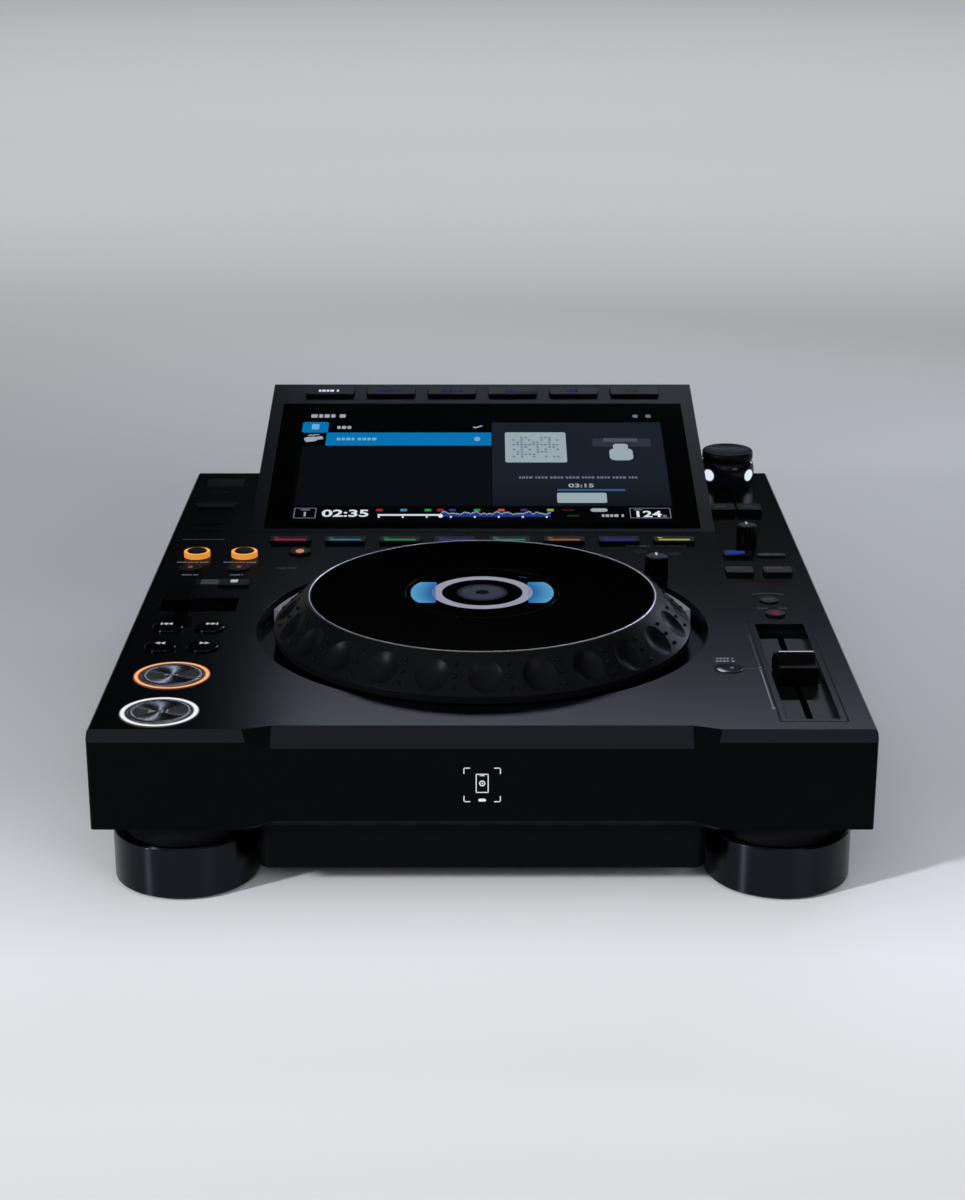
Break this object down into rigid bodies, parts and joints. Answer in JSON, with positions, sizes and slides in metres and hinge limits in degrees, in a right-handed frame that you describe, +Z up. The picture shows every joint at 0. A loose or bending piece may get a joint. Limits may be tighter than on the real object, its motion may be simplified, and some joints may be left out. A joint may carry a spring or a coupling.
{
  "type": "dj media player",
  "caption": "Tabletop DJ media player with a large jog wheel, a raised sloped touch screen, lit play and cue buttons, hot cue pads and a tempo slider, on round feet.",
  "frame": {"origin": "on the ground under the middle of the whole deck, screen included", "axes": "+X to the user's right, +Y to the back, away from the user, +Z up"},
  "size_m": [0.329, 0.453, 0.118],
  "materials": {
    "top_plate": "satin dark grey, finely textured",
    "lower_case": "satin black paint on sheet steel",
    "socket_plastic": "black",
    "bezel": "satin dark grey",
    "display_glass": "black touch panel, glossy",
    "foot_metal": "dark anodised, brushed round the ring",
    "foot_rubber": "black",
    "post_metal": "machined",
    "gloss_black": "polished black",
    "circuit_board": "green board",
    "supply_metal": "bare cover",
    "track_plastic": "dark grey",
    "screw_steel": "blackened",
    "light_window": "clear and amber lit windows",
    "jog_plastic": "satin black",
    "key_black": "satin black",
    "knob_black": "satin black",
    "spun_metal": "spun finish, dark"
  },
  "bodies": {
    "chassis": {"upper_case": "top_plate", "lower_case": "lower_case", "sockets": "socket_plastic", "screen_bezel": "bezel", "screen_rear_cover": "bezel", "touch_display": "display_glass", "foot_rings": "foot_metal", "foot_cores": "foot_rubber", "jog_post": "post_metal", "jog_display": "gloss_black", "circuit_boards": "circuit_board", "power_supply": "supply_metal", "tempo_track": "track_plastic", "screws": "screw_steel", "light_windows": "light_window"},
    "jog": {"jog_wheel": "jog_plastic", "jog_plate": "gloss_black"},
    "play_button": {"play_button": "spun_metal"},
    "cue_button": {"cue_button": "spun_metal"},
    "track_back_button": {"track_back_button": "key_black"},
    "track_forward_button": {"track_forward_button": "key_black"},
    "search_back_button": {"search_back_button": "key_black"},
    "search_forward_button": {"search_forward_button": "key_black"},
    "loop_in_button": {"loop_in_button": "key_black"},
    "loop_out_button": {"loop_out_button": "key_black"},
    "short_beat_button": {"short_beat_button": "key_black"},
    "long_beat_button": {"long_beat_button": "key_black"},
    "memory_button": {"memory_button": "key_black"},
    "tempo_range_button": {"tempo_range_button": "key_black"},
    "master_tempo_button": {"master_tempo_button": "key_black"},
    "tempo_reset_button": {"tempo_reset_button": "key_black"},
    "slip_button": {"slip_button": "key_black"},
    "port_stop_button": {"port_stop_button": "key_black"},
    "back_button": {"back_button": "key_black"},
    "tag_button": {"tag_button": "key_black"},
    "jog_mode_button": {"jog_mode_button": "key_black"},
    "key_button": {"key_button": "key_black"},
    "sync_button": {"sync_button": "key_black"},
    "master_button": {"master_button": "key_black"},
    "hot_cue_pad_1": {"hot_cue_pad_1": "key_black"},
    "hot_cue_pad_2": {"hot_cue_pad_2": "key_black"},
    "hot_cue_pad_3": {"hot_cue_pad_3": "key_black"},
    "hot_cue_pad_4": {"hot_cue_pad_4": "key_black"},
    "hot_cue_pad_5": {"hot_cue_pad_5": "key_black"},
    "hot_cue_pad_6": {"hot_cue_pad_6": "key_black"},
    "hot_cue_pad_7": {"hot_cue_pad_7": "key_black"},
    "hot_cue_pad_8": {"hot_cue_pad_8": "key_black"},
    "menu_key_1": {"menu_key_1": "key_black"},
    "menu_key_2": {"menu_key_2": "key_black"},
    "menu_key_3": {"menu_key_3": "key_black"},
    "menu_key_4": {"menu_key_4": "key_black"},
    "menu_key_5": {"menu_key_5": "key_black"},
    "menu_key_6": {"menu_key_6": "key_black"},
    "rotary_selector": {"rotary_selector": "gloss_black"},
    "jog_adjust_knob": {"jog_adjust_knob": "knob_black"},
    "vinyl_speed_knob": {"vinyl_speed_knob": "knob_black"},
    "direction_lever": {"direction_lever": "key_black"},
    "port_cover": {"port_cover": "key_black"},
    "power_switch": {"power_switch": "socket_plastic"},
    "tempo_slider": {"tempo_slider": "knob_black"}
  },
  "joints": [
    {"name": "jog_turn", "type": "hinge", "parent": "chassis", "child": "jog", "pos_m": [0, -0.0905, 0.0784], "axis": [0, 0, 1], "continuous": true},
    {"name": "play_button_press", "type": "slide", "parent": "chassis", "child": "play_button", "axis": [0, 0, -1], "range_m": [0, 0.001], "stiffness_N_per_m": 350, "springref_m": -0.002},
    {"name": "cue_button_press", "type": "slide", "parent": "chassis", "child": "cue_button", "axis": [0, 0, -1], "range_m": [0, 0.001], "stiffness_N_per_m": 350, "springref_m": -0.002},
    {"name": "track_back_button_press", "type": "slide", "parent": "chassis", "child": "track_back_button", "axis": [0, 0, -1], "range_m": [0, 0.001], "stiffness_N_per_m": 350, "springref_m": -0.002},
    {"name": "track_forward_button_press", "type": "slide", "parent": "chassis", "child": "track_forward_button", "axis": [0, 0, -1], "range_m": [0, 0.001], "stiffness_N_per_m": 350, "springref_m": -0.002},
    {"name": "search_back_button_press", "type": "slide", "parent": "chassis", "child": "search_back_button", "axis": [0, 0, -1], "range_m": [0, 0.001], "stiffness_N_per_m": 350, "springref_m": -0.002},
    {"name": "search_forward_button_press", "type": "slide", "parent": "chassis", "child": "search_forward_button", "axis": [0, 0, -1], "range_m": [0, 0.001], "stiffness_N_per_m": 350, "springref_m": -0.002},
    {"name": "loop_in_button_press", "type": "slide", "parent": "chassis", "child": "loop_in_button", "axis": [0, 0, -1], "range_m": [0, 0.001], "stiffness_N_per_m": 350, "springref_m": -0.002},
    {"name": "loop_out_button_press", "type": "slide", "parent": "chassis", "child": "loop_out_button", "axis": [0, 0, -1], "range_m": [0, 0.001], "stiffness_N_per_m": 350, "springref_m": -0.002},
    {"name": "short_beat_button_press", "type": "slide", "parent": "chassis", "child": "short_beat_button", "axis": [0, 0, -1], "range_m": [0, 0.001], "stiffness_N_per_m": 350, "springref_m": -0.002},
    {"name": "long_beat_button_press", "type": "slide", "parent": "chassis", "child": "long_beat_button", "axis": [0, 0, -1], "range_m": [0, 0.001], "stiffness_N_per_m": 350, "springref_m": -0.002},
    {"name": "memory_button_press", "type": "slide", "parent": "chassis", "child": "memory_button", "axis": [0, 0, -1], "range_m": [0, 0.001], "stiffness_N_per_m": 350, "springref_m": -0.002},
    {"name": "tempo_range_button_press", "type": "slide", "parent": "chassis", "child": "tempo_range_button", "axis": [0, 0, -1], "range_m": [0, 0.001], "stiffness_N_per_m": 350, "springref_m": -0.002},
    {"name": "master_tempo_button_press", "type": "slide", "parent": "chassis", "child": "master_tempo_button", "axis": [0, 0, -1], "range_m": [0, 0.001], "stiffness_N_per_m": 350, "springref_m": -0.002},
    {"name": "tempo_reset_button_press", "type": "slide", "parent": "chassis", "child": "tempo_reset_button", "axis": [0, 0, -1], "range_m": [0, 0.001], "stiffness_N_per_m": 350, "springref_m": -0.002},
    {"name": "slip_button_press", "type": "slide", "parent": "chassis", "child": "slip_button", "axis": [0, 0, -1], "range_m": [0, 0.001], "stiffness_N_per_m": 350, "springref_m": -0.002},
    {"name": "port_stop_button_press", "type": "slide", "parent": "chassis", "child": "port_stop_button", "axis": [0, 0, -1], "range_m": [0, 0.001], "stiffness_N_per_m": 350, "springref_m": -0.002},
    {"name": "back_button_press", "type": "slide", "parent": "chassis", "child": "back_button", "axis": [0, 0, -1], "range_m": [0, 0.001], "stiffness_N_per_m": 350, "springref_m": -0.002},
    {"name": "tag_button_press", "type": "slide", "parent": "chassis", "child": "tag_button", "axis": [0, 0, -1], "range_m": [0, 0.001], "stiffness_N_per_m": 350, "springref_m": -0.002},
    {"name": "jog_mode_button_press", "type": "slide", "parent": "chassis", "child": "jog_mode_button", "axis": [0, 0, -1], "range_m": [0, 0.001], "stiffness_N_per_m": 350, "springref_m": -0.002},
    {"name": "key_button_press", "type": "slide", "parent": "chassis", "child": "key_button", "axis": [0, 0, -1], "range_m": [0, 0.001], "stiffness_N_per_m": 350, "springref_m": -0.002},
    {"name": "sync_button_press", "type": "slide", "parent": "chassis", "child": "sync_button", "axis": [0, 0, -1], "range_m": [0, 0.001], "stiffness_N_per_m": 350, "springref_m": -0.002},
    {"name": "master_button_press", "type": "slide", "parent": "chassis", "child": "master_button", "axis": [0, 0, -1], "range_m": [0, 0.001], "stiffness_N_per_m": 350, "springref_m": -0.002},
    {"name": "hot_cue_pad_1_press", "type": "slide", "parent": "chassis", "child": "hot_cue_pad_1", "axis": [0, 0, -1], "range_m": [0, 0.001], "stiffness_N_per_m": 350, "springref_m": -0.002},
    {"name": "hot_cue_pad_2_press", "type": "slide", "parent": "chassis", "child": "hot_cue_pad_2", "axis": [0, 0, -1], "range_m": [0, 0.001], "stiffness_N_per_m": 350, "springref_m": -0.002},
    {"name": "hot_cue_pad_3_press", "type": "slide", "parent": "chassis", "child": "hot_cue_pad_3", "axis": [0, 0, -1], "range_m": [0, 0.001], "stiffness_N_per_m": 350, "springref_m": -0.002},
    {"name": "hot_cue_pad_4_press", "type": "slide", "parent": "chassis", "child": "hot_cue_pad_4", "axis": [0, 0, -1], "range_m": [0, 0.001], "stiffness_N_per_m": 350, "springref_m": -0.002},
    {"name": "hot_cue_pad_5_press", "type": "slide", "parent": "chassis", "child": "hot_cue_pad_5", "axis": [0, 0, -1], "range_m": [0, 0.001], "stiffness_N_per_m": 350, "springref_m": -0.002},
    {"name": "hot_cue_pad_6_press", "type": "slide", "parent": "chassis", "child": "hot_cue_pad_6", "axis": [0, 0, -1], "range_m": [0, 0.001], "stiffness_N_per_m": 350, "springref_m": -0.002},
    {"name": "hot_cue_pad_7_press", "type": "slide", "parent": "chassis", "child": "hot_cue_pad_7", "axis": [0, 0, -1], "range_m": [0, 0.001], "stiffness_N_per_m": 350, "springref_m": -0.002},
    {"name": "hot_cue_pad_8_press", "type": "slide", "parent": "chassis", "child": "hot_cue_pad_8", "axis": [0, 0, -1], "range_m": [0, 0.001], "stiffness_N_per_m": 350, "springref_m": -0.002},
    {"name": "menu_key_1_press", "type": "slide", "parent": "chassis", "child": "menu_key_1", "axis": [0, 0.225, -0.9744], "range_m": [0, 0.0008], "stiffness_N_per_m": 350, "springref_m": -0.002},
    {"name": "menu_key_2_press", "type": "slide", "parent": "chassis", "child": "menu_key_2", "axis": [0, 0.225, -0.9744], "range_m": [0, 0.0008], "stiffness_N_per_m": 350, "springref_m": -0.002},
    {"name": "menu_key_3_press", "type": "slide", "parent": "chassis", "child": "menu_key_3", "axis": [0, 0.225, -0.9744], "range_m": [0, 0.0008], "stiffness_N_per_m": 350, "springref_m": -0.002},
    {"name": "menu_key_4_press", "type": "slide", "parent": "chassis", "child": "menu_key_4", "axis": [0, 0.225, -0.9744], "range_m": [0, 0.0008], "stiffness_N_per_m": 350, "springref_m": -0.002},
    {"name": "menu_key_5_press", "type": "slide", "parent": "chassis", "child": "menu_key_5", "axis": [0, 0.225, -0.9744], "range_m": [0, 0.0008], "stiffness_N_per_m": 350, "springref_m": -0.002},
    {"name": "menu_key_6_press", "type": "slide", "parent": "chassis", "child": "menu_key_6", "axis": [0, 0.225, -0.9744], "range_m": [0, 0.0008], "stiffness_N_per_m": 350, "springref_m": -0.002},
    {"name": "rotary_selector_turn", "type": "hinge", "parent": "chassis", "child": "rotary_selector", "pos_m": [0.1395, 0.1512, 0.0784], "axis": [0, 0, 1], "continuous": true},
    {"name": "jog_adjust_knob_turn", "type": "hinge", "parent": "chassis", "child": "jog_adjust_knob", "pos_m": [0.1374, 0.0305, 0.0784], "axis": [0, 0, 1], "range_deg": [-140, 140]},
    {"name": "vinyl_speed_knob_turn", "type": "hinge", "parent": "chassis", "child": "vinyl_speed_knob", "pos_m": [0.0868, -0.0219, 0.0784], "axis": [0, 0, 1], "range_deg": [-140, 140]},
    {"name": "direction_lever_turn", "type": "hinge", "parent": "chassis", "child": "direction_lever", "pos_m": [-0.1442, -0.063, 0.0644], "axis": [-1, 0, 0], "range_deg": [0, 44]},
    {"name": "port_cover_turn", "type": "hinge", "parent": "chassis", "child": "port_cover", "pos_m": [-0.1467, 0.1602, 0.0771], "axis": [-1, 0, 0], "range_deg": [0, 100]},
    {"name": "power_switch_turn", "type": "hinge", "parent": "chassis", "child": "power_switch", "pos_m": [-0.0885, 0.1665, 0.05665], "axis": [1, 0, 0], "range_deg": [0, 12]},
    {"name": "tempo_slider_slide", "type": "slide", "parent": "chassis", "child": "tempo_slider", "axis": [0, 1, 0], "range_m": [-0.047, 0.047]}
  ]
}
